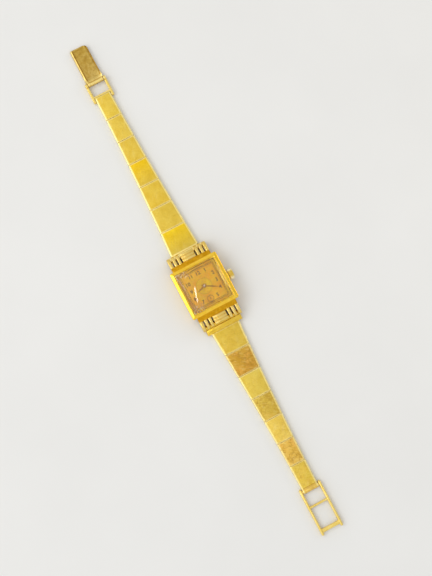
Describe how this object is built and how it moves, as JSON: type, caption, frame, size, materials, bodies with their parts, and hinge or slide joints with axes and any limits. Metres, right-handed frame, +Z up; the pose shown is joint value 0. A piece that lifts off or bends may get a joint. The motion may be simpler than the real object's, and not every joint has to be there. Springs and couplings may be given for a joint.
{
  "type": "square wristwatch with link bracelet",
  "caption": "Square wristwatch with a domed crystal, ribbed hooded lugs, a crown at three and a tapering gold-tone link bracelet with a fold-over flap and ladder clasp.",
  "frame": {"origin": "centre of the case back's flat outer face", "axes": "+Z up through the dial, +Y towards twelve and the clasp flap, +X towards the crown"},
  "size_m": [0.0199, 0.1887, 0.0078],
  "materials": {
    "case_gold": "polished gold-tone",
    "satin_gold": "satin-brushed gold-tone",
    "pale_gold": "pale gold-tone, worn bright",
    "crystal": "clear domed",
    "dial_copper": "satin copper",
    "hands_dark": "dark bronze lacquer",
    "steel": "plain steel",
    "movement_brass": "matt gilt"
  },
  "bodies": {
    "case": {"case_band": "case_gold", "case_back": "pale_gold", "bezel": "case_gold", "crystal": "crystal", "dial": "dial_copper", "lug_hoods": "case_gold", "lug_blocks": "pale_gold", "spring_bars": "steel", "mainplate": "movement_brass", "train_bridge": "movement_brass", "balance_cock": "movement_brass", "bridge_screws": "steel"},
    "barrel": {"barrel": "movement_brass"},
    "center_wheel": {"center_wheel": "movement_brass"},
    "third_wheel": {"third_wheel": "movement_brass"},
    "fourth_wheel": {"fourth_wheel": "movement_brass", "seconds_hand": "hands_dark"},
    "escape_wheel": {"escape_wheel": "steel"},
    "pallet_fork": {"pallet_fork": "steel"},
    "balance": {"balance_wheel": "movement_brass", "hairspring": "steel"},
    "cannon": {"cannon_pinion": "steel", "minute_hand": "hands_dark"},
    "minute_wheel": {"minute_wheel": "movement_brass"},
    "hour": {"hour_wheel": "movement_brass", "hour_hand": "hands_dark"},
    "stem": {"winding_stem": "steel"},
    "crown": {"crown": "pale_gold"},
    "upper_1": {"upper_link_1": "satin_gold"},
    "upper_2": {"upper_link_2": "satin_gold", "upper_pin_1": "steel"},
    "upper_3": {"upper_link_3": "satin_gold", "upper_pin_2": "steel"},
    "upper_4": {"upper_link_4": "satin_gold", "upper_pin_3": "steel"},
    "upper_5": {"upper_link_5": "satin_gold", "upper_pin_4": "steel"},
    "upper_6": {"upper_link_6": "satin_gold", "upper_pin_5": "steel"},
    "upper_7": {"upper_link_7": "satin_gold", "upper_pin_6": "steel"},
    "frame": {"clasp_frame": "pale_gold", "upper_pin_7": "steel", "flap_pin": "steel"},
    "flap": {"clasp_flap": "satin_gold"},
    "lower_1": {"lower_link_1": "satin_gold", "lower_end_bar": "pale_gold"},
    "lower_2": {"lower_link_2": "satin_gold", "lower_pin_1": "steel"},
    "lower_3": {"lower_link_3": "satin_gold", "lower_pin_2": "steel"},
    "lower_4": {"lower_link_4": "satin_gold", "lower_pin_3": "steel"},
    "lower_5": {"lower_link_5": "satin_gold", "lower_pin_4": "steel"},
    "lower_6": {"lower_link_6": "satin_gold", "lower_pin_5": "steel"},
    "lower_7": {"lower_link_7": "satin_gold", "lower_pin_6": "steel"},
    "ladder": {"ladder": "pale_gold"}
  },
  "joints": [
    {"name": "upper_lug_hinge", "type": "hinge", "parent": "case", "child": "upper_1", "pos_m": [0, 0.0132, 0.0012], "axis": [1, 0, 0], "range_deg": [-60, 8]},
    {"name": "upper_hinge_1", "type": "hinge", "parent": "upper_1", "child": "upper_2", "pos_m": [0, 0.02306, 0.00065], "axis": [1, 0, 0], "range_deg": [-25, 8]},
    {"name": "upper_hinge_2", "type": "hinge", "parent": "upper_2", "child": "upper_3", "pos_m": [0, 0.03181, 0.00065], "axis": [1, 0, 0], "range_deg": [-25, 8]},
    {"name": "upper_hinge_3", "type": "hinge", "parent": "upper_3", "child": "upper_4", "pos_m": [0, 0.04056, 0.00065], "axis": [1, 0, 0], "range_deg": [-25, 8]},
    {"name": "upper_hinge_4", "type": "hinge", "parent": "upper_4", "child": "upper_5", "pos_m": [0, 0.04931, 0.00065], "axis": [1, 0, 0], "range_deg": [-25, 8]},
    {"name": "upper_hinge_5", "type": "hinge", "parent": "upper_5", "child": "upper_6", "pos_m": [0, 0.05806, 0.00065], "axis": [1, 0, 0], "range_deg": [-25, 8]},
    {"name": "upper_hinge_6", "type": "hinge", "parent": "upper_6", "child": "upper_7", "pos_m": [0, 0.06681, 0.00065], "axis": [1, 0, 0], "range_deg": [-25, 8]},
    {"name": "frame_hinge", "type": "hinge", "parent": "upper_7", "child": "frame", "pos_m": [0, 0.07481, 0.0008], "axis": [1, 0, 0], "range_deg": [-40, 0]},
    {"name": "flap_hinge", "type": "hinge", "parent": "frame", "child": "flap", "pos_m": [0, 0.08066, 0.00162], "axis": [1, 0, 0], "range_deg": [0, 180]},
    {"name": "lower_lug_hinge", "type": "hinge", "parent": "case", "child": "lower_1", "pos_m": [0, -0.0132, 0.0012], "axis": [1, 0, 0], "range_deg": [-8, 60]},
    {"name": "lower_hinge_1", "type": "hinge", "parent": "lower_1", "child": "lower_2", "pos_m": [0, -0.02446, 0.00065], "axis": [1, 0, 0], "range_deg": [-8, 25]},
    {"name": "lower_hinge_2", "type": "hinge", "parent": "lower_2", "child": "lower_3", "pos_m": [0, -0.03321, 0.00065], "axis": [1, 0, 0], "range_deg": [-8, 25]},
    {"name": "lower_hinge_3", "type": "hinge", "parent": "lower_3", "child": "lower_4", "pos_m": [0, -0.04196, 0.00065], "axis": [1, 0, 0], "range_deg": [-8, 25]},
    {"name": "lower_hinge_4", "type": "hinge", "parent": "lower_4", "child": "lower_5", "pos_m": [0, -0.05071, 0.00065], "axis": [1, 0, 0], "range_deg": [-8, 25]},
    {"name": "lower_hinge_5", "type": "hinge", "parent": "lower_5", "child": "lower_6", "pos_m": [0, -0.05946, 0.00065], "axis": [1, 0, 0], "range_deg": [-8, 25]},
    {"name": "lower_hinge_6", "type": "hinge", "parent": "lower_6", "child": "lower_7", "pos_m": [0, -0.06821, 0.00065], "axis": [1, 0, 0], "range_deg": [-8, 25]},
    {"name": "ladder_hinge", "type": "hinge", "parent": "lower_7", "child": "ladder", "pos_m": [0, -0.07791, 0.0008], "axis": [1, 0, 0], "range_deg": [-75, 75]},
    {"name": "crown_pull", "type": "slide", "parent": "case", "child": "stem", "axis": [1, 0, 0], "range_m": [0, 0.0008]},
    {"name": "crown_turn", "type": "hinge", "parent": "stem", "child": "crown", "pos_m": [0.0093, -0.00035, 0.0024], "axis": [1, 0, 0], "continuous": true},
    {"name": "minute_turn", "type": "hinge", "parent": "case", "child": "cannon", "pos_m": [0, 0, 0.0041], "axis": [0, 0, -1], "continuous": true},
    {"name": "hour_turn", "type": "hinge", "parent": "case", "child": "hour", "pos_m": [0, 0, 0.0043], "axis": [0, 0, -1], "continuous": true},
    {"name": "minute_wheel_turn", "type": "hinge", "parent": "case", "child": "minute_wheel", "pos_m": [0.00127, 0.00127, 0.0041], "axis": [0, 0, -1], "continuous": true},
    {"name": "seconds_turn", "type": "hinge", "parent": "case", "child": "fourth_wheel", "pos_m": [0, -0.0047, 0.0028], "axis": [0, 0, -1], "continuous": true},
    {"name": "third_turn", "type": "hinge", "parent": "case", "child": "third_wheel", "pos_m": [0.00159, -0.00252, 0.0025], "axis": [0, 0, -1], "continuous": true},
    {"name": "center_turn", "type": "hinge", "parent": "case", "child": "center_wheel", "pos_m": [0, 0, 0.0019], "axis": [0, 0, -1], "continuous": true},
    {"name": "barrel_turn", "type": "hinge", "parent": "case", "child": "barrel", "pos_m": [-0.00244, 0.00244, 0.0025], "axis": [0, 0, -1], "continuous": true},
    {"name": "escape_turn", "type": "hinge", "parent": "case", "child": "escape_wheel", "pos_m": [-0.00165, -0.00393, 0.00225], "axis": [0, 0, -1], "continuous": true},
    {"name": "fork_rock", "type": "hinge", "parent": "case", "child": "pallet_fork", "pos_m": [-0.00299, -0.00405, 0.00225], "axis": [0, 0, -1], "range_deg": [-5, 5]},
    {"name": "balance_swing", "type": "hinge", "parent": "case", "child": "balance", "pos_m": [-0.0046, -0.00312, 0.0027], "axis": [0, 0, -1], "range_deg": [-270, 270]}
  ],
  "couplings": [
    {"joint": "hour_turn", "follows": "minute_turn", "ratio": 0.083333},
    {"joint": "minute_wheel_turn", "follows": "minute_turn", "ratio": -0.33333},
    {"joint": "third_turn", "follows": "seconds_turn", "ratio": -0.125},
    {"joint": "center_turn", "follows": "seconds_turn", "ratio": 0.016667},
    {"joint": "barrel_turn", "follows": "seconds_turn", "ratio": -0.0025},
    {"joint": "escape_turn", "follows": "seconds_turn", "ratio": -7.2727}
  ]
}
